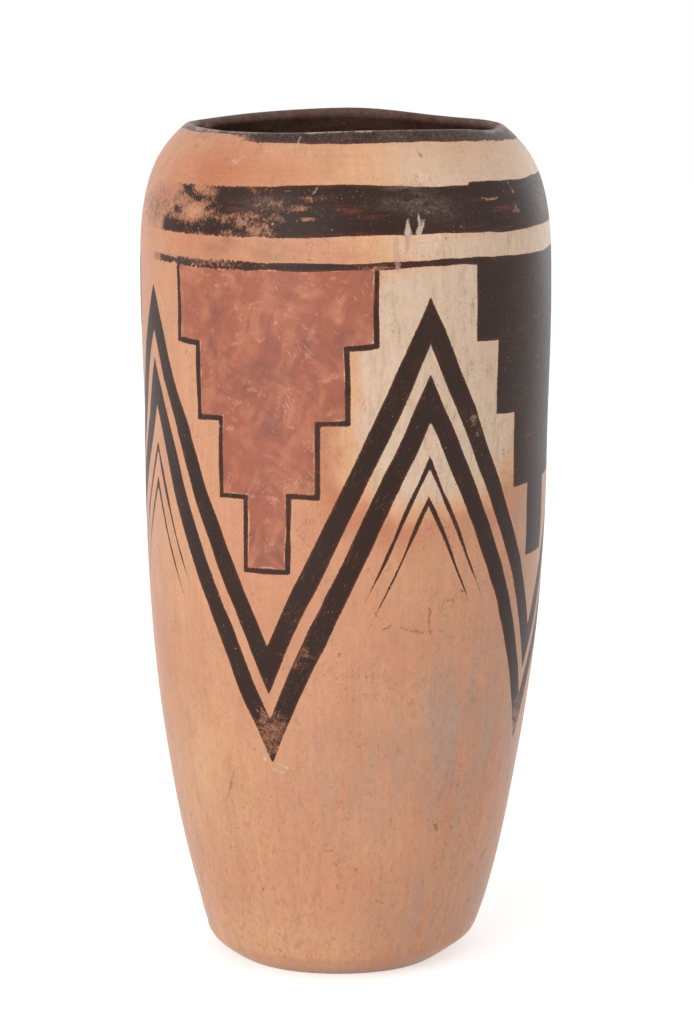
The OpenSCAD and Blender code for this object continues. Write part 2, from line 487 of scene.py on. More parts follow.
# Greyer places, which on the right side are partly painted shade and, at its edge, a painted reflection
TAN_AND_SHADE_SPOTS = [
    (64, 150, 16, 70, 0.6), (44, 96, 38, 60, 0.65), (70, 100, 24, 60, 0.8), (10, 66, 34, 30, 0.4),
    (40, 20, 60, 34, 0.45), (72, 30, 30, 40, 0.7), (80, 110, 16, 110, 0.6), (-150, 230, 40, 50, 0.5),
]
# Lighter and yellower places, which low on the left side are partly painted light
WARM_AND_LIT_SPOTS = [
    (-3, 293, 17, 13, 0.85), (-52, 66, 26, 56, 0.4), (-34, 14, 46, 16, 0.65), (-50, 140, 20, 60, 0.3),
    (128, 60, 60, 60, 0.5), (-150, 292, 40, 14, 0.6),
]
# Soiled places
SOIL_SPOTS = [
    (-36, 265.4, 13, 5.5, 1), (-22, 265.6, 11, 4.5, 0.9), (-100, 240, 20, 26, 0.5),
    (140, 40, 34, 22, 0.6),
]
# Places where the dark slip is rubbed away
RUBBED_SPOTS = [
    (-54, 279.5, 18, 10, 0.92), (-47.5, 276.6, 8, 4.6, 1.15), (-46.4, 285.6, 5, 2.6, 1.05),
    (-44, 280, 9, 10, 0.86), (-37, 275.4, 9, 4.4, 0.66), (-28, 275.4, 10, 4.8, 0.6),
    (-24, 272, 8, 3.6, 0.72), (-43, 269, 10, 1.5, 0.55), (-33, 270.4, 9, 2, 0.62),
    (-56, 268.8, 6, 0.9, 0.5), (-22, 281.4, 10, 3.8, 0.54), (-14, 279.4, 8, 2.2, 0.5),
    (-18.5, 276, 6, 2.2, 0.52), (-30, 285.6, 14, 1.6, 0.46), (-10, 283, 14, 2.4, 0.36),
    (-9.2, 275.8, 3.4, 0.8, 0.95), (-13, 279, 3, 0.9, 0.62), (-18, 285.6, 9, 0.5, 0.52),
    (2.5, 278.6, 9, 1.9, 0.3), (46, 281.4, 4, 0.8, 0.5), (55, 276.8, 2.4, 0.9, 0.6),
    (27, 280.4, 5, 1, 0.36), (-54, 259.6, 8, 2.2, 0.3), (-36, 260.2, 18, 2.2, 0.5),
    (6, 260, 12, 2.4, 0.46), (-38, 302.4, 8, 2.4, 0.72), (-22, 92, 15, 15, 0.56), (-14, 126, 9, 14, 0.38),
    (68, 90, 16, 18, 0.5), (40, 205, 10, 12, 0.36), (158, 96, 20, 20, 0.56), (-112, 90, 18, 16, 0.5),
    (120, 279, 16, 4, 0.5), (175, 275, 14, 4, 0.45),
]
# Places where it has held among those
HELD_SPOTS = [
    (-51.4, 284.1, 3.4, 2.4, 0.74), (-48.4, 282.5, 3, 1.5, 0.5), (-44.6, 281.4, 5.6, 1.8, 0.74),
    (-34.6, 283, 7.4, 4.2, 0.66), (-40.5, 279.4, 3.4, 1.6, 0.4), (-54.6, 271.9, 5.4, 3, 0.55),
    (-45.5, 272.4, 6.4, 2.6, 0.24), (-39, 273, 3.4, 3, 0.5), (-37.3, 274, 2.2, 4.4, 0.4),
    (-53.8, 276.8, 2.2, 1.8, 0.6), (-33, 271, 6, 1.4, 0.2), (-67, 277.5, 14, 8, 0.64),
]
# Places where it was laid on thinly, in level strokes
THIN_SPOTS = [
    (1, 279.4, 8, 1.8, 1), (7, 277.2, 8, 1.2, 1), (43, 281.6, 8, 0.9, 0.9), (49, 277.6, 10, 1.1, 1),
    (2, 271.4, 12, 0.7, 0.8), (30, 300.7, 60, 0.9, 0.8), (-30, 286.4, 16, 0.7, 0.8),
    (6, 260.4, 14, 2, 0.9), (130, 282, 24, 2.4, 1), (-160, 274, 22, 2, 1),
]
# Places where the worn slip has crumbled into small grains
CRUMBLED_SPOTS = [
    (-52, 279, 26, 12, 1), (-28, 276, 22, 10, 0.7), (-36, 302.4, 11, 3, 1), (-45, 260, 26, 3.4, 1),
    (60, 302, 18, 3.4, 0.6), (-132, 278, 16, 10, 1), (120, 279, 20, 6, 0.7),
]
# Worn places and thin, rusty ones inside the mouth
INSIDE_RUBBED_SPOTS = [(-112, 302, 8, 1.6, 0.75), (20, 296, 20, 5, 0.35)]
INSIDE_THIN_SPOTS = [
    (148, 301.6, 13, 3.4, 1), (132, 299, 11, 4, 1), (112, 299, 12, 3.5, 0.8), (-165, 301, 12, 2.5, 0.6),
    (-130, 298, 14, 4, 0.6), (176, 296, 20, 3, 0.5),
]
# Places where handling has left a grey film, and painted sheen on the wide band and at its right edge
FILM_AND_SHEEN_SPOTS = [
    (14, 281.4, 8, 2.4, 0.8), (21, 281, 7, 4.5, 0.95), (27, 279, 6, 3.6, 0.85), (76, 279, 10, 5, 0.95),
    (17, 286.6, 9, 0.9, 1.1), (15, 302.6, 80, 2, 0.6), (84, 302, 14, 3.2, 1.1), (-60, 303, 16, 2, 0.6),
    (-50, 260.6, 14, 2, 0.5), (-24, 281, 10, 3, 0.5), (-170, 281, 20, 6, 0.7),
]
# How dusty the crest is, at angles from the front, and how far down, which is further at the back
CREST_DUST = [
    (-180, 0.5), (-120, 0.8), (-95, 1.5), (-45, 1.4), (-20, 1), (-10, 1.5), (0, 1), (40, 0.9), (60, 1.3),
    (80, 1.6), (105, 1), (130, 0.5), (180, 0.5),
]
DUST_REACH = 0.8
DUST_REACH_BEHIND = 1.2
DUST_BEHIND = (radians(40), radians(65))

# The ends of the stretch at the left where the wide band is worn away, as heights and angles
GONE_TO = [(262, -60), (267, -59), (269, -56), (272, -57.5), (274, -56), (278, -51), (290, -53)]
GONE_FROM = [(268, -126), (272, -134), (276, -122), (281, -131), (284, -124), (290, -130)]
GONE_TO_FADE = 7
GONE_FROM_FADE = 6
GONE_STRENGTH = 1.35
# Heights between which that begins and ends, and where the framing line is worn away with it
GONE_LOW_H = (264, 267)
GONE_HIGH_H = (296, 292)
GONE_TOP_H = (300, 296)
LINE_GONE_H = (256, 258)
LINE_GONE_FROM = (-90, -82)


def wear_field(angle, z, side):
    """Share of the dark slip that is worn away."""
    patchy = hand_noise(angle, z, 13, seed=31)
    a = angle + 1.8 * hand_noise(angle, z, 4, seed=33) / PAINT_R
    h = z + 0.6 * hand_noise(angle, z, 4, seed=34)
    degrees = np.degrees(a)
    gone_to = smooth((np.interp(h, *zip(*GONE_TO)) - degrees) / GONE_TO_FADE)
    gone_from = smooth((degrees - np.interp(h, *zip(*GONE_FROM))) / GONE_FROM_FADE)
    on_band = fade(h, *GONE_LOW_H) * fade(h, *GONE_HIGH_H)
    on_line = fade(degrees, *LINE_GONE_FROM) * fade(h, *LINE_GONE_H)
    gone = GONE_STRENGTH * gone_to * gone_from * np.maximum(on_band, on_line)
    rubbed = (1 + 0.2 * patchy) * strongest(a, h, RUBBED_SPOTS)
    wear = np.maximum(0.09 + 0.09 * hand_noise(angle, z, 20, seed=32), rubbed)
    wear = np.maximum(wear, gone * fade(z, *GONE_TOP_H)) - strongest(a, h, HELD_SPOTS)
    crest = 0.42 * np.exp(-((OVERALL_H + 0.2 - z) / 0.6) ** 2)
    inside = 0.12 + 0.12 * patchy + strongest(angle, z, INSIDE_RUBBED_SPOTS)
    return np.where(side == INSIDE, np.maximum(crest, inside), np.maximum(wear, crest))


def haze_and_sheen_field(angle, z, side):
    """Share of grey film, dust and painted sheen, strongest along the crest of the lip."""
    reach = DUST_REACH + DUST_REACH_BEHIND * fade(np.abs(angle), *DUST_BEHIND)
    dust = stray(angle, CREST_DUST) * np.exp(-((OVERALL_H - z) / reach) ** 2)
    dust *= 1 + 0.4 * hand_noise(angle, z, 6, seed=41)
    # The film spots are partly painted sheen on the band and at the right edge
    film = strongest(angle, z, FILM_AND_SHEEN_SPOTS) * (side == OUTSIDE)
    return np.maximum(dust * (side != UNDERSIDE), film)


# Marks of use, each a run of points with their angle, height and half of the width there
DARK_MARKS = [
    [(7.8, 141.2, 0.2), (8.8, 138.2, 0.4)], [(10.8, 133.6, 0.2), (12.8, 135, 0.3)],
    [(15.6, 134.2, 0.2), (19.2, 132.4, 0.35), (22.6, 131.6, 0.2)],
    [(24.3, 139.4, 0.2), (24.1, 135.2, 0.35), (24.9, 131, 0.3)], [(28.6, 142, 0.4), (31.6, 142.6, 0.3)],
    [(34.2, 145.4, 0.4), (35.4, 145, 0.3)], [(-36.4, 78.7, 0.15), (-38.6, 72.4, 0.4), (-41.6, 66, 0.1)],
    [(4.9, 44.5, 0.5)], [(-1.6, 37.9, 0.6)], [(32.3, 58.5, 1.1), (33, 57, 0.6)], [(-30.3, 34, 0.5)],
    [(-23.8, 8.1, 0.7)], [(-1.5, 124.8, 0.3)], [(28.9, 114.8, 0.3)], [(-2.4, 116.5, 0.3)],
    [(-6, 52, 0.1), (-4.2, 51.4, 0.35), (-2.6, 52.2, 0.1)],
    [(12, 31.6, 0.1), (14.6, 30.9, 0.35), (16.4, 31.4, 0.1)],
    [(23.8, 299, 0.1), (24.2, 297, 0.5), (24.6, 296.2, 0.2)], [(21.3, 290.4, 0.5), (21.7, 289.6, 0.3)],
    [(57.2, 300.8, 0.3), (58, 299.8, 0.3)], [(-44.1, 297.6, 0.35)],
    [(-64.3, 295.2, 0.25), (-63.8, 293.8, 0.3)], [(-9.4, 262.6, 0.5)],
    [(-71.6, 260.4, 0.2), (-69.6, 258.6, 0.3)], [(-66, 280.6, 0.2)], [(-63.2, 277.4, 0.25)],
    [(-61.2, 275.2, 0.3)], [(-68, 275.4, 0.25)], [(-73.6, 277.2, 0.3)], [(-59.8, 279.2, 0.2)],
    [(-71, 271.8, 0.25)], [(-64.8, 271, 0.2)], [(-57.8, 276.4, 0.3)], [(-76.5, 273, 0.4)],
    [(-62, 283.6, 0.2)], [(-56.4, 279.8, 0.25)], [(130, 60, 0.6)], [(-120, 44, 0.7)], [(170, 30, 0.5)],
    [(100, 132, 0.6)],
]
PALE_MARKS = [
    [(17.2, 276.8, 0.05), (16.9, 274.6, 0.5), (16.9, 271.6, 1.1)],
    [(20.1, 278.3, 0.1), (20.3, 276.4, 0.6), (20.4, 274.2, 0.5), (19.9, 271.4, 0.95)],
    [(21.7, 275.6, 0.25), (21.2, 273.6, 0.5), (20.3, 271.8, 0.7)], [(18.1, 277.3, 0.1)],
    [(21.6, 278.8, 0.1)], [(23.3, 278.1, 0.2)], [(15.9, 281.1, 0.05)], [(19.3, 281.1, 0.05)],
    [(33.6, 282.6, 0.1)], [(32.9, 272.8, 0.1)], [(33.8, 272, 0.05)], [(34.6, 271.3, 0.15)],
    [(-36.9, 294.2, 0.2), (-36.3, 295.7, 0.2)], [(-35.9, 293.6, 0.3), (-35.3, 295.3, 0.2)],
    [(-34.9, 294, 0.2), (-34.4, 296, 0.2)], [(-34.2, 296.4, 0.15), (-32.6, 296.9, 0.15)],
    [(-26.5, 298.7, 0), (-24.5, 298.9, 0.1), (-23, 298.7, 0)], [(-11.6, 297.2, 0), (-10.8, 294.6, 0.05)],
    [(-15.3, 304, 0.05), (-15.7, 302.2, 0.15), (-16, 300.3, 0.2)],
    [(-7.5, 287.5, 0.1), (-8.3, 286, 0.15), (-9.2, 284.4, 0.05)],
    [(-20.7, 281.6, 0.1), (-20.2, 280, 0.05)], [(-3.9, 273.2, 0.1), (-3.4, 272.6, 0.15)],
    [(-16.2, 275.3, 0.2)], [(-20.6, 274, 0.05), (-19.6, 274.5, 0.1)],
    [(54.4, 286.4, 0.15), (55, 284.6, 0.2), (55.8, 282.4, 0.35)],
    [(51.2, 283.6, 0.1), (52.2, 282.4, 0.1)], [(41.6, 281.9, 0.1), (44.6, 281.3, 0)],
    [(55, 277.4, 0.1), (56.6, 277, 0.05)], [(56.9, 275.1, 0.05)],
    [(-14.6, 304.7, 0), (-11, 304.9, 0.3), (-8.6, 304.8, 0.1)], [(-4.4, 304.9, 0), (-1.6, 304.9, 0.25)],
    [(3.6, 304.8, 0.05), (6.4, 304.9, 0.3), (9.4, 304.8, 0)], [(19.6, 302.9, 0.1), (20.4, 301.6, 0.15)],
    [(-24.6, 85.2, 0.8)], [(-20.2, 83.9, 0.3), (-17.2, 82.4, 0.5)],
    [(-22.6, 81.6, 0.3), (-18.6, 80.4, 0.3)], [(-62.7, 11.5, 0.6)], [(-23, 8.6, 0.5)],
    [(-8.1, 5.1, 0.3), (-4.6, 5, 0.3)], [(-37, 203, 0.5)], [(-30.4, 236, 0.4)], [(140, 275, 0.7)],
    [(-160, 120, 0.6)], [(106.4, 304.9, 0.8), (109, 304.9, 0.6)],
]
# What has run down and dried to a thin film
FILM_MARKS = [
    [(17, 271.6, 1.2), (16.6, 267.6, 1), (16, 263.6, 0.3)],
    [(13.6, 269.6, 0.7), (13.6, 266.6, 1), (13.8, 262, 0.9), (14, 259.2, 0.9)],
]


def distance_to_marks(angle, z, marks):
    """Distance outside the nearest of the marks."""
    nearest = np.full(z.shape, float(FAR))
    for points in marks:
        for start, end in zip(points, points[1:] or points):
            u = (angle - radians(start[0])) * PAINT_R
            v = z - start[1]
            along_u = radians(end[0] - start[0]) * PAINT_R
            along_v = end[1] - start[1]
            length = max(hypot(along_u, along_v), 1e-6)
            share = np.clip((u * along_u + v * along_v) / length ** 2, 0, 1)
            away = np.hypot(u - share * along_u, v - share * along_v)
            nearest = np.minimum(nearest, away - start[2] - share * (end[2] - start[2]))
    return nearest


def mesh_fields(angle, radius, z, side):
    """Every field of the mesh that the shader reads, by name."""
    outside = side == OUTSIDE
    # Round the wall all points count as equally far out, so that streaks run straight up it
    wrap_r = np.where(side == UNDERSIDE, PAINT_R * radius / FOOT_R, PAINT_R)
    wrap_r = np.where((side == INSIDE) & (z < COVE_TOP_H), radius, wrap_r)
    thin = [strongest(angle, z, spots) for spots in (THIN_SPOTS, INSIDE_THIN_SPOTS)]
    fields = {
        "wrap": np.stack([wrap_r * np.sin(angle), -wrap_r * np.cos(angle), z], axis=-1),
        "inside": side == INSIDE,
        "wear": wear_field(angle, z, side),
        "haze_and_sheen": haze_and_sheen_field(angle, z, side),
        "thin": np.select([outside, side == INSIDE], thin, 0),
        "soil": strongest(angle, z, SOIL_SPOTS) * outside,
        "crumbled": strongest(angle, z, CRUMBLED_SPOTS) * outside,
        **paint_fields(angle, z, side),
        **fire_fields(angle, z),
    }
    for name, marks in (("dark_mark", DARK_MARKS), ("pale_mark", PALE_MARKS), ("film_mark", FILM_MARKS)):
        fields[name] = distance_to_marks(angle, z, marks) + np.where(outside, 0, FAR)
    return fields


def add_field(mesh, name, values):
    """Keeps a field on the mesh's points, as one number or three."""
    values = np.asarray(values, np.float32)
    kind, part = ("FLOAT_VECTOR", "vector") if values.ndim > 1 else ("FLOAT", "value")
    mesh.attributes.new(name, kind, "POINT").data.foreach_set(part, values.ravel())


def revolved_faces(outline):
    """Faces between the columns; a closed outline is a ring, and one that ends on the axis has two fans."""
    has_poles = outline[0][0] == 0
    rows = len(outline) - 2 if has_poles else len(outline)
    start = np.arange(COLUMNS) * rows
    after = np.roll(start, -1)

    def strip(*corners):
        return np.column_stack(np.broadcast_arrays(*corners)).tolist()

    # The poles are single points after the columns, whose rows leave both out
    first_pole = COLUMNS * rows
    faces = strip(first_pole, after, start) if has_poles else []
    for row in range(rows - 1 if has_poles else rows):
        above = (row + 1) % rows
        faces += strip(start + row, after + row, after + above, start + above)
    if has_poles:
        faces += strip(start + rows - 1, after + rows - 1, first_pole + 1)
    return faces


def new_object(name, data):
    """An object in the scene that shows this data."""
    made = bpy.data.objects.new(name, data)
    bpy.context.scene.collection.objects.link(made)
    return made


def clay_piece(node, outline, material):
    """Turns an outline into one closed, uneven piece that stands for a solid of the frame."""
    has_poles = outline[0][0] == 0
    rows = outline[1:-1] if has_poles else outline
    angle = np.repeat(2 * pi * np.arange(COLUMNS) / COLUMNS - pi, len(rows))
    radius, z, side = np.tile(rows.T, COLUMNS)
    if has_poles:
        angle = np.append(angle, [0, 0])
        radius, z, side = np.hstack([[radius, z, side], outline[[0, -1]].T])
    mesh = bpy.data.meshes.new("fired_" + node)
    mesh.from_pydata((hand_shaped(angle, radius, z) * MM).tolist(), [], revolved_faces(outline))
    for name, values in mesh_fields(angle, radius, z, side).items():
        add_field(mesh, name, values)
    mesh.shade_smooth()
    mesh.set_sharp_from_angle(angle=SHARP_ANGLE)
    mesh.materials.append(material)
    piece = new_object("fired_" + node, mesh)
    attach(piece, "root")
    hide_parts(node)


def srgb(red, green, blue):
    """A colour as seen on screen, from 0 to 255, as the linear colour that a shader takes."""
    shares = [channel / 255 for channel in (red, green, blue)]
    return tuple(s / 12.92 if s <= 0.04045 else ((s + 0.055) / 1.055) ** 2.4 for s in shares) + (1,)


class Canvas:
    """The node tree that the functions below add to, and how many places in it are shifted."""
    tree = None
    shifts = 0


def start_canvas(owner):
    """Turns to the node tree of a material or the world."""
    owner.use_nodes = True
    Canvas.tree = owner.node_tree
    Canvas.shifts = 0


def fill(node, inputs):
    """Links inputs of a node, by name or by number, to sockets or sets them."""
    for key, value in inputs.items():
        if isinstance(value, bpy.types.NodeSocket):
            Canvas.tree.links.new(value, node.inputs[key])
        else:
            node.inputs[key].default_value = value


def add_node(kind, inputs, **properties):
    """A new node with these properties and these inputs."""
    node = Canvas.tree.nodes.new("ShaderNode" + kind)
    for name, value in properties.items():
        setattr(node, name, value)
    fill(node, inputs)
    return node


def field(name, kind="Fac"):
    """A field of the mesh, as a number or with "Vector" as three."""
    return add_node("Attribute", {}, attribute_name=name).outputs[kind]


def placed(place, cell, tilt=0):
    """The place in cells, of one size, of one round the wall and one up it, or of three, and tilted."""
    Canvas.shifts += 1
    sizes = cell if isinstance(cell, tuple) else (cell, cell)
    inputs = {
        "Vector": place,
        "Scale": sizes if len(sizes) == 3 else (sizes[0], *sizes),
        "Rotation": (0, radians(tilt), 0),
        "Location": [Canvas.shifts * step for step in (37.3, 51.1, 79.7)],
    }
    return add_node("Mapping", inputs, vector_type="TEXTURE").outputs[0]


def texture(place, cell, detail, rough=0.5, tilt=0):
    """A node of plain noise over the place."""
    place = placed(place, cell, tilt)
    return add_node("TexNoise", {"Vector": place, "Scale": 1, "Detail": detail, "Roughness": rough})


def noise(place, cell, detail=2, rough=0.5, tilt=0):
    """Noise that mostly fills 0 to 1, in cells of this size or these sizes."""
    return span(texture(place, cell, detail, rough, tilt).outputs["Fac"], 0.28, 0.72)


def swing(place, cell, size, detail=2, rough=0.5):
    """Noise that swings by half of size to either side of zero."""
    return times(add(noise(place, cell, detail, rough), -0.5), size)


def warped(place, cell, size):
    """The place pushed about by up to half of size, in swirls of this cell."""
    swirls = texture(place, cell, 2).outputs["Color"]
    inputs = {0: swirls, 1: (2 * size, 2 * size, 2 * size), 2: place}
    return add_node("VectorMath", inputs, operation="MULTIPLY_ADD").outputs[0]


def dots(place, cell, radius, share):
    """1 in round dots of up to this radius, one in this share of the cells."""
    cells = add_node("TexVoronoi", {"Vector": placed(place, cell), "Scale": 1}).outputs
    chances = add_node("SeparateColor", {0: cells["Color"]}).outputs
    from_dot = maths("DIVIDE", cells["Distance"], times(chances[0], radius / cell))
    return times(span(from_dot, 1, 0.6), span(chances[1], share, share - 0.001))


def scratches(place, length, width, tilt, share):
    """1 in thin straight marks that lie at a tilt, crowded together in this share of the surface."""
    dashes = span(noise(place, (width, length), 1, 0.5, tilt), 0.8, 0.95)
    return times(dashes, span(noise(place, 14), 1 - share, 1.1 - share))


def curls(place, cell, width):
    """1 in thin curling lines about this share of a cell wide."""
    return span(maths("ABSOLUTE", add(noise(place, cell, 1), -0.5)), width, 0)


def maths(operation, *values):
    """The numbers joined, one after the other, by an operation; a lone one is only changed by it."""
    joined, *others = values
    for value in others or [0]:
        joined = add_node("Math", {0: joined, 1: value}, operation=operation).outputs[0]
    return joined


def add(*terms):
    return maths("ADD", *terms)


def times(*factors):
    return maths("MULTIPLY", *factors)


def least(*values):
    return maths("MINIMUM", *values)


def most(*values):
    return maths("MAXIMUM", *values)


def rest(share):
    """What a share leaves of 1."""
    return maths("SUBTRACT", 1, share)


def span(value, low, high, start=0, end=1, kind="LINEAR"):
    """Start below low, end above high, and between them in between; low may be over high."""
    inputs = dict(enumerate((value, low, high, start, end)))
    return add_node("MapRange", inputs, interpolation_type=kind).outputs[0]


def blend(share, first, second):
    """The first number, and the second where share is 1."""
    return add(times(first, rest(share)), times(second, share))


def stripe(value, middle, width):
    """Distance outside a stripe of this width about a middle value."""
    return add(maths("ABSOLUTE", add(value, -middle)), -width / 2)


def parts(vector):
    """The three numbers of a vector."""
    return add_node("SeparateXYZ", {0: vector}).outputs


def mix(share, first, second, kind="MIX"):
    """The first colour, and the second where share is 1."""
    inputs = {0: share, 6: first, 7: second}
    return add_node("Mix", inputs, data_type="RGBA", blend_type=kind).outputs[2]


def shaded(colour, level):
    """The colour, darker or lighter by this factor."""
    grey = add_node("CombineColor", dict.fromkeys(range(3), level)).outputs[0]
    return mix(1, colour, grey, "MULTIPLY")


# Colours of the clay and of the painted slips
APRICOT = srgb(213, 155, 121)
ORANGE = srgb(206, 138, 103)
ROSE = srgb(205, 142, 118)
TAN_AND_SHADE = srgb(189, 153, 132)
SMOKE = srgb(128, 88, 66)
CREAM = srgb(222, 193, 168)
FRINGE = srgb(226, 174, 132)
BLUSH = srgb(192, 118, 84)
RAW_CLAY = srgb(166, 118, 92)
RAW_DUST = srgb(186, 144, 116)
RED_SLIP = srgb(167, 97, 77)
RED_SLIP_PALE = srgb(202, 132, 101)
RED_SLIP_DEEP = srgb(136, 82, 73)
DARK = srgb(50, 30, 22)
BROWN = srgb(106, 56, 40)
SMEAR = srgb(92, 62, 52)
SMOKED = srgb(124, 96, 84)
# Colours of wear, dust and dirt, and of painted sheen
CHALK = srgb(216, 192, 172)
SCUFF = srgb(138, 116, 106)
DUST_AND_SHEEN = srgb(184, 160, 147)
FILM = srgb(192, 150, 134)

# Heights between which the polish turns level, the clouds get dirty and ragged, and dabs get few
LEVEL_POLISH_H = (250, 268)
BELOW_BAND_H = (284, 270)
DABS_H = (110, 30)
CLAY_SPECULAR = 0.2


def fired_clay(wrap):
    """Colour of the bare clay, clouded by the fire, with its polishing streaks, grain and pits, and with
    painted light and shade on its shoulder and sides.
    """
    height = parts(wrap)[2]
    # The stone went up and down the wall, and round the shoulder
    on_shoulder = span(height, *LEVEL_POLISH_H)
    up_streaks = noise(wrap, (1.2, 3.2), 3, 0.65)
    streaks = blend(on_shoulder, up_streaks, noise(wrap, (3.6, 1.2), 3, 0.65))
    up_strokes = swing(wrap, (1.4, 26), 0.055, 3)
    strokes = blend(on_shoulder, up_strokes, swing(wrap, (16, 0.9), 0.07))
    grain = noise(wrap, (0.55, 0.7), 3, 0.75)
    patches = warped(wrap, 18, 6)
    colour = mix(noise(patches, (24, 46), 4, 0.6), APRICOT, ORANGE)
    colour = mix(times(noise(patches, (7, 24), 4, 0.6), 0.55), colour, ROSE)
    yellowed = span(noise(patches, (9, 22), 4, 0.6), 0, 1, 0.5, 1.2)
    # Yellower fringe colour, which low on the left side is partly painted light
    colour = mix(times(add(field("warm_and_lit"), 0.22), yellowed), colour, FRINGE)
    # Greyer tan patches; on the right side they are partly painted shade and a painted reflection at the
    # edge
    tan_and_shade_patches = span(noise(wrap, (6, 40), 4, 0.65), 0.22, 0.78)
    colour = mix(times(field("tan"), tan_and_shade_patches, 1.5), colour, TAN_AND_SHADE)
    below_band = span(height, *BELOW_BAND_H)
    ragged = times(swing(wrap, (5, 9), 5, 3), span(below_band, 0, 1, 0.25, 1))
    cloud = add(field("cloud"), ragged)
    colour = mix(times(field("blush"), 0.75), colour, BLUSH)
    colour = mix(span(cloud, 8, 0, 0, 0.8, "SMOOTHSTEP"), colour, FRINGE)
    colour = mix(span(cloud, 2, -9, 0, 0.95, "SMOOTHSTEP"), colour, CREAM)
    # Brightness of the clay: random tone, polishing streaks and grain, and a painted light on the shoulder
    tone_and_painted_light = add(
        1,
        swing(patches, (9, 15), 0.13, 6, 0.72),
        swing(wrap, (3, 60), 0.06, 4, 0.6),
        swing(wrap, (2.4, 3.2), 0.07, 3, 0.65),
        strokes,
        times(add(streaks, -0.5), 0.08),
        times(add(grain, -0.5), 0.12),
        # Painted light: the shoulder is drawn a little lighter inside the pale cloud, as if lit from above
        times(on_shoulder, span(cloud, 4, -6), 0.025),
    )
    colour = shaded(colour, tone_and_painted_light)
    # Specks, thumb marks and short stains lie in groups
    crowded = span(noise(wrap, (13, 17), 3), 0.45, 0.85)
    stains = span(noise(patches, (1.5, 2.4), 4, 0.65), 0.7, 1)
    curled = curls(warped(wrap, 2.6, 1.6), (3.4, 4.4), 0.05)
    curled = times(curled, span(noise(wrap, (2.4, 3.2)), 0.45, 0.62), crowded)
    pits = add(dots(wrap, 7, 0.4, 0.35), dots(wrap, 15, 0.7, 0.4))
    dusky = times(span(cloud, 2, -8), span(below_band, 0, 1, 0.15, 1))
    dabs = span(noise(patches, (2.6, 4.4), 4, 0.6), 0.6, 1)
    dabs = times(dabs, span(height, *DABS_H, 0.25, 1))
    soiled = add(
        times(pits, 0.6),
        times(stains, crowded, 0.5),
        times(curled, 0.5),
        times(field("soil"), noise(patches, (10, 7), 4, 0.6), 0.75),
        times(dusky, span(noise(wrap, (2, 10), 5, 0.7), 0.5, 1), 0.3),
        times(dabs, 0.3),
        times(scratches(wrap, 2.4, 0.5, 14, 0.42), 0.32),
        times(scratches(wrap, 1.7, 0.5, -62, 0.36), 0.32),
        times(mark(wrap, "dark_mark", 1.5), 0.6),
    )
    return mix(soiled, colour, SMOKE), streaks, grain, pits


def mark(wrap, name, ragged=0.5):
    """1 within the marks of this field, broken up the more, the more ragged they are."""
    frayed = add(swing(wrap, 0.9, ragged, 3, 0.7), swing(wrap, 3, 0.4))
    return span(add(field(name), frayed), 0.25, -0.25)


def red_slip(wrap):
    """Colour of the red slip, laid on in slanting strokes that pool and thin out."""
    brushed = warped(wrap, 40, 9)
    strokes = noise(brushed, (2.6, 22), 3, 0.55, 24)
    crossing = noise(brushed, (15, 3.2), 3, 0.55, 30)
    pools = noise(brushed, (10, 12), 4, 0.55)
    coats = noise(brushed, 26, 3)
    laid = blend(span(coats, 0.4, 0.6), strokes, crossing)
    thin = add(times(laid, 0.28), times(pools, 0.72))
    thick = add(times(laid, 0.3), times(noise(brushed, (14, 16), 4, 0.55), 0.7))
    colour = mix(span(thin, 0.42, 0.9, 0, 0.85), RED_SLIP, RED_SLIP_PALE)
    colour = mix(span(thick, 0.52, 0.12, 0, 0.85), colour, RED_SLIP_DEEP)
    colour = shaded(colour, add(1, swing(wrap, 2.2, 0.12, 4, 0.7), swing(wrap, 0.7, 0.1)))
    scraped = add(scratches(wrap, 5, 0.5, -32, 0.34), scratches(wrap, 3.4, 0.5, 50, 0.24))
    return mix(add(times(scraped, 0.42), times(dots(wrap, 6, 0.5, 0.3), 0.5)), colour, CHALK)


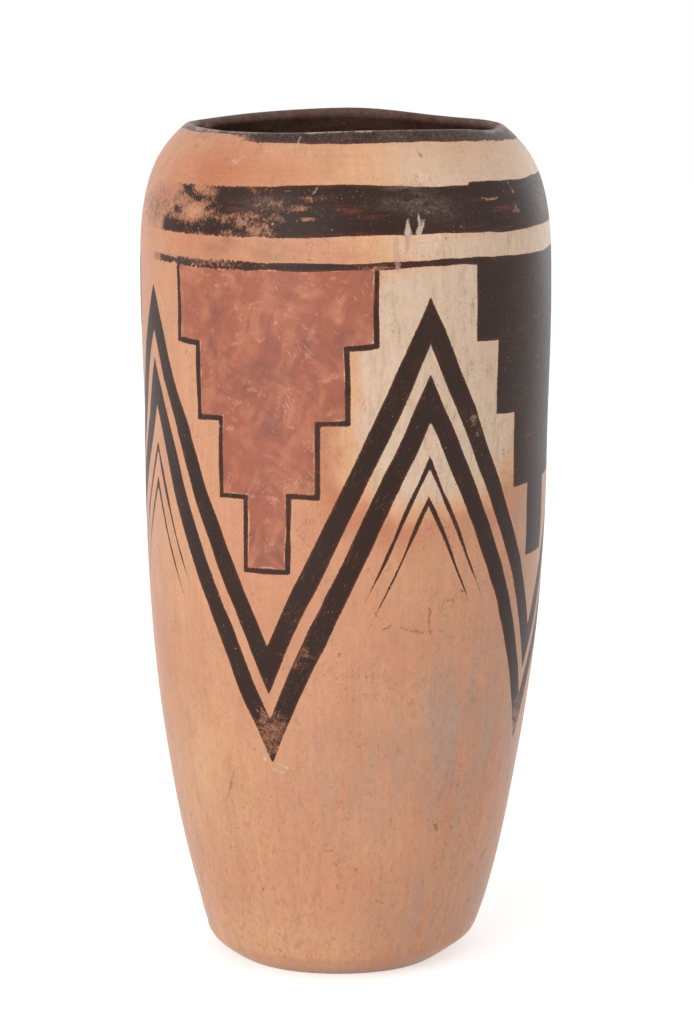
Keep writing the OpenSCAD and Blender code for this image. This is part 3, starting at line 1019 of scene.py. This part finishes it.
def dark_slip(wrap, inside, dark):
    """Colour of the dark slip, the share of it that is kept, and that of the stain left where it is worn."""
    specks = noise(wrap, 0.75, 3, 0.75)
    scuffs = noise(warped(wrap, 7, 3), (5.5, 2.8), 5, 0.7)
    brushed = field("hairs", "Vector")
    hairs = noise(brushed, 1, 3, 0.6)
    grains = noise(wrap, (0.7, 1.1), 3, 0.9)
    clumps = noise(warped(wrap, 3, 1.5), (2.8, 2), 4, 0.8)
    crumbled = field("crumbled")
    thin = field("thin")
    holds = blend(
        crumbled,
        add(times(specks, 0.3), times(scuffs, 0.52), times(hairs, 0.18)),
        span(add(times(grains, 0.52), times(clumps, 0.34), times(scuffs, 0.14)), 0.22, 0.78),
    )
    spare = add(holds, times(field("wear"), -1))
    smudged = span(noise(wrap, (11, 7), 3), 0.35, 0.7, 0.2, 1)
    smudged = times(smudged, span(crumbled, 1, 0.45, 0.1, 1))
    kept = blend(smudged, span(spare, -0.07, 0.06), span(spare, -0.28, 0.17))
    # It turns brown where it is thin, and is smoked on the inside
    patchy = span(noise(wrap, (20, 10), 3), 0.55, 0.95)
    thin_stroke = times(span(hairs, 0.44, 0.14, 0, 0.6), patchy)
    washed = noise(brushed, (0.45, 1.3, 1.3), 5, 0.75)
    washed = span(add(washed, times(thin, 0.34)), 0.56, 1, 0, 0.95)
    washed = times(washed, most(times(patchy, 0.25), thin))
    rusty = times(inside, thin, span(scuffs, 0.36, 0.66, 0, 0.9))
    along_edge = times(span(dark, -1, 0, 0, 0.9), noise(wrap, 5, 3))
    brown = most(span(spare, 0.14, -0.02, 0, 0.9), thin_stroke, washed, rusty, along_edge)
    slip = mix(brown, DARK, BROWN)
    smoke = times(inside, span(scuffs, 0, 1, 0.25, 0.9), span(thin, 0, 0.9, 1, 0.15))
    slip = mix(smoke, slip, SMOKED)
    crowded = span(noise(wrap, 8, 3), 0.42, 0.8)
    flecks = add(
        times(dots(wrap, 1.4, 0.32, 0.3), crowded),
        dots(wrap, 7, 0.35, 0.25),
        times(crumbled, dots(wrap, 1.5, 0.55, 0.35), span(clumps, 0.4, 0.7)),
    )
    slip = mix(times(flecks, 0.5), slip, CHALK)
    scraped = add(scratches(wrap, 4, 0.35, 28, 0.42), scratches(wrap, 3, 0.35, -55, 0.38))
    stain = times(span(spare, -0.7, -0.04, 0, 0.85), span(grains, 0.2, 0.8, 0.5, 1))
    return mix(times(scraped, 0.24), slip, SCUFF), kept, stain


def painted_shapes(inside):
    """Distances outside the dark slip and outside the red slip."""
    above = field("above")
    band, frame_line, lip = parts(field("lines", "Vector"))
    steps = field("steps")
    is_red = field("red_steps")
    off_wall = times(inside, 99)

    stripe_shift = (STRIPE_W + STRIPE_GAP) / 2
    stripes = stripe(maths("ABSOLUTE", above), stripe_shift, STRIPE_W)
    echo_middle = -sum(ECHO_DISTANCES) / 2
    echo_shift = (ECHO_DISTANCES[1] - ECHO_DISTANCES[0]) / 2
    down_leg = span(field("along"), LEG_LENGTH, LEG_LENGTH - ECHO_LENGTH)
    taper = span(maths("POWER", down_leg, 3), 0, 1, ECHO_W / 2, -ECHO_W / 8)
    from_echo = maths("ABSOLUTE", add(above, -echo_middle))
    echoes = add(stripe(from_echo, echo_shift, 0), times(taper, -1))
    outlined = stripe(steps, 0, OUTLINE_W)
    step_dark = add(times(is_red, outlined), times(rest(is_red), steps))
    on_wall = add(least(stripes, echoes, step_dark, band, frame_line), off_wall)
    dark = add(least(on_wall, lip), times(field("widen"), -1))
    red = add(steps, off_wall, times(rest(is_red), 99))
    return dark, red


def clay_material(name):
    """Fired clay with its painted slips, their brush strokes and their wear."""
    material = bpy.data.materials.new(name)
    start_canvas(material)
    wrap = field("wrap", "Vector")
    inside = field("inside")
    clay, streaks, grain, pits = fired_clay(wrap)
    wiped = noise(wrap, (30, 1.6), 3)
    clay = mix(inside, clay, mix(wiped, RAW_CLAY, RAW_DUST))
    dark, red = painted_shapes(inside)
    edge = swing(wrap, 0.8, 0.22)
    edge = add(edge, times(field("crumbled"), swing(wrap, 1.3, 2.4, 3, 0.75)))

    # The red slip stops a little short of its outline, here and there
    rubbed = span(noise(wrap, (6, 4), 5, 0.65), 0.7, 0.95, 0.96, 0.35)
    short = add(OUTLINE_W / 2, swing(wrap, (7, 9), 1.7, 3), edge)
    red_share = times(span(add(red, short), 0.15, -0.15), rubbed)
    colour = mix(red_share, clay, red_slip(wrap))

    # The dark slip leaves a stain where it is worn, but not inside
    slip, kept, stain = dark_slip(wrap, inside, dark)
    painted = span(add(dark, edge), 0.1, -0.1)
    colour = mix(times(painted, stain, rest(inside)), colour, SMEAR)
    dark_share = times(painted, kept)
    colour = mix(dark_share, colour, slip)

    # Marks of use over clay and paint alike, and a painted sheen among the grey film
    haze_and_sheen = field("haze_and_sheen")
    wisps = span(noise(warped(wrap, 5, 4), (5, 1.6), 6, 0.85), 0.28, 0.95)
    # The grey film is partly a painted sheen
    hazy_and_sheen = times(haze_and_sheen, wisps, span(noise(wrap, (0.9, 0.7)), 0, 1, 0.5, 1.6))
    colour = mix(times(hazy_and_sheen, 0.85), colour, mix(span(haze_and_sheen, 0.9, 1.4), SCUFF, DUST_AND_SHEEN))
    film = noise(warped(wrap, 3, 2), (1.6, 4), 4, 0.7)
    film = times(mark(wrap, "film_mark", 1), span(film, 0.1, 0.7, 0.25, 0.75))
    colour = mix(film, colour, FILM)
    colour = mix(times(mark(wrap, "pale_mark"), 0.78), colour, CHALK)

    gloss = span(streaks, 0, 1, 0.32, 0.4)
    gloss = add(gloss, times(dark_share, 0.04), times(inside, 0.3), times(grain, 0.05))
    relief = add(
        times(streaks, 0.01),
        times(grain, 0.016),
        times(pits, -0.12),
        times(dark_share, 0.025),
        times(inside, wiped, 0.12),
    )
    bump = add_node("Bump", {"Strength": 1, "Distance": MM, "Height": relief})
    fill(Canvas.tree.nodes["Principled BSDF"], {
        "Base Color": colour,
        "Roughness": gloss,
        "Specular IOR Level": CLAY_SPECULAR,
        "Normal": bump.outputs["Normal"],
    })
    return material


def make_vase():
    """Every piece of the vase, in the material that its slot names."""
    materials = {slot: clay_material(slot) for slot in dict.fromkeys(SLOT_OF.values())}
    for i, node in enumerate(NODES):
        if node == "base_pat":
            outline = base_outline()
        elif node == "rim_coil":
            outline = rim_outline()
        else:
            outline = ring_outline(TOPS[i - 1], TOPS[i])
        clay_piece(node, outline, materials[SLOT_OF[node]])


# Camera at the photograph's angle. The focal length is in pixels of the photograph's height
CAMERA_X = 2
CAMERA_DISTANCE = 1342
CAMERA_H = 408.3
CAMERA_PITCH = radians(10.33)
FOCAL_PIXELS = 3753.3
IMAGE_H = 1016
SENSOR = 36


def make_camera():
    camera = bpy.data.cameras.new("camera")
    camera.sensor_width = SENSOR
    camera.lens = FOCAL_PIXELS / IMAGE_H * SENSOR
    holder = new_object("camera", camera)
    holder.location = (CAMERA_X * MM, -CAMERA_DISTANCE * MM, CAMERA_H * MM)
    holder.rotation_euler = (pi / 2 - CAMERA_PITCH, 0, 0)
    bpy.context.scene.camera = holder


# Studio, in metres. Lights stand round the vase, as angle and elevation, distance, size and power
LIGHT_AIM = (0, 0, 0.16)
LIGHTS = {
    "key_softbox": ((-34, 16), 1.6, 1.2, 12.4),
    "fill_softbox": ((60, 12), 1.8, 1.2, 2.8),
    "edge_softbox": ((142, 8), 1.8, 0.9, 2.6),
}
SKY_LEVEL = 0.6
FLOOR_SIZE = 6
FLOOR_GLOW = 0.56
FLOOR_COLOUR = (0.8, 0.8, 0.8, 1)
WHITE = (1, 1, 1, 1)


def make_light(name, direction, distance, size, power):
    """A square softbox that faces the vase."""
    light = bpy.data.lights.new(name, "AREA")
    light.size = size
    light.energy = power
    holder = new_object(name, light)
    turn, up = (radians(value) for value in direction)
    holder.location = (
        LIGHT_AIM[0] + distance * cos(up) * sin(turn),
        LIGHT_AIM[1] - distance * cos(up) * cos(turn),
        LIGHT_AIM[2] + distance * sin(up),
    )
    holder.rotation_euler = (pi / 2 - up, 0, turn)


def seen_directly():
    """1 for what the camera sees, also in a reflection or through glass, and 0 for light on the vase."""
    path = add_node("LightPath", {}).outputs
    return most(path["Is Camera Ray"], path["Is Glossy Ray"], path["Is Transmission Ray"])


def make_sky():
    """White where it is seen, and soft even light on the vase."""
    world = bpy.data.worlds.new("studio")
    bpy.context.scene.world = world
    start_canvas(world)
    level = span(seen_directly(), 0, 1, SKY_LEVEL, 1)
    fill(Canvas.tree.nodes["Background"], {"Color": WHITE, "Strength": level})


def make_floor():
    """A pale floor that looks white and keeps the vase's shadow."""
    material = bpy.data.materials.new("pale_floor")
    start_canvas(material)
    fill(Canvas.tree.nodes["Principled BSDF"], {
        "Base Color": FLOOR_COLOUR,
        "Roughness": 1,
        "Specular IOR Level": 0,
        "Emission Color": WHITE,
        "Emission Strength": times(seen_directly(), FLOOR_GLOW),
    })
    half = FLOOR_SIZE / 2
    corners = [(-half, -half, 0), (half, -half, 0), (half, half, 0), (-half, half, 0)]
    mesh = bpy.data.meshes.new("floor")
    mesh.from_pydata(corners, [], [(0, 1, 2, 3)])
    mesh.materials.append(material)
    floor = new_object("floor", mesh)


make_camera()
make_vase()
make_sky()
make_floor()
for light_name, placing in LIGHTS.items():
    make_light(light_name, *placing)
bpy.context.scene.view_settings.view_transform = "Standard"
